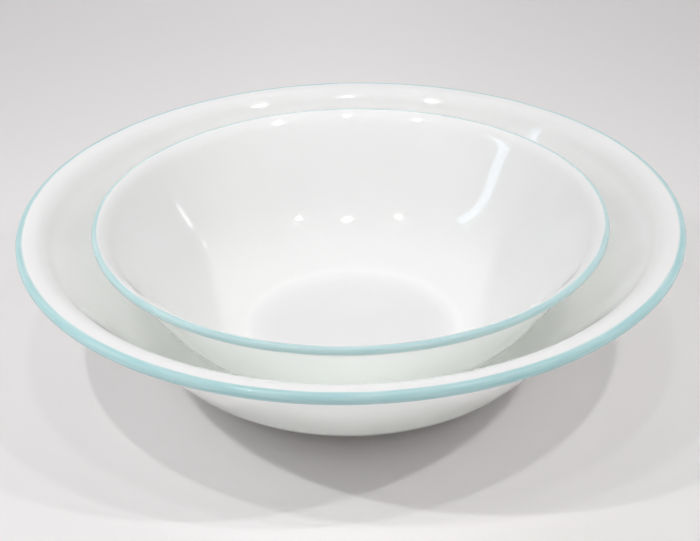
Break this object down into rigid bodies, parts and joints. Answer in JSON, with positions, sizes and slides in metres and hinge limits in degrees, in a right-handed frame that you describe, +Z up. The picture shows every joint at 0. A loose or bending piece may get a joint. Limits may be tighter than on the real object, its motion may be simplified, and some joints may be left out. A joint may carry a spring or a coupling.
{
  "type": "nested serving bowls",
  "caption": "Wide white opal-glass serving bowl with an everted lip, and a smaller flared bowl that stands inside it and lifts out; each rim has an aqua enamel band.",
  "frame": {"origin": "centre of the serving bowl's foot ring, on the surface that the bowls stand on", "axes": "+Z up along the common axis of both bowls; X and Y are interchangeable because the bowls are round"},
  "size_m": [0.26, 0.26, 0.063],
  "materials": {
    "opal_glass": "glossy opaque white opal glass",
    "aqua_enamel": "glossy fired enamel"
  },
  "bodies": {
    "serving_bowl": {"serving_bowl": "opal_glass", "serving_bowl_rim_band": "aqua_enamel"},
    "nested_bowl": {"nested_bowl": "opal_glass", "nested_bowl_rim_band": "aqua_enamel"}
  },
  "joints": [
    {"name": "nested_bowl_lift", "type": "slide", "parent": "serving_bowl", "child": "nested_bowl", "axis": [0, 0, 1], "range_m": [0, 0.09]}
  ]
}
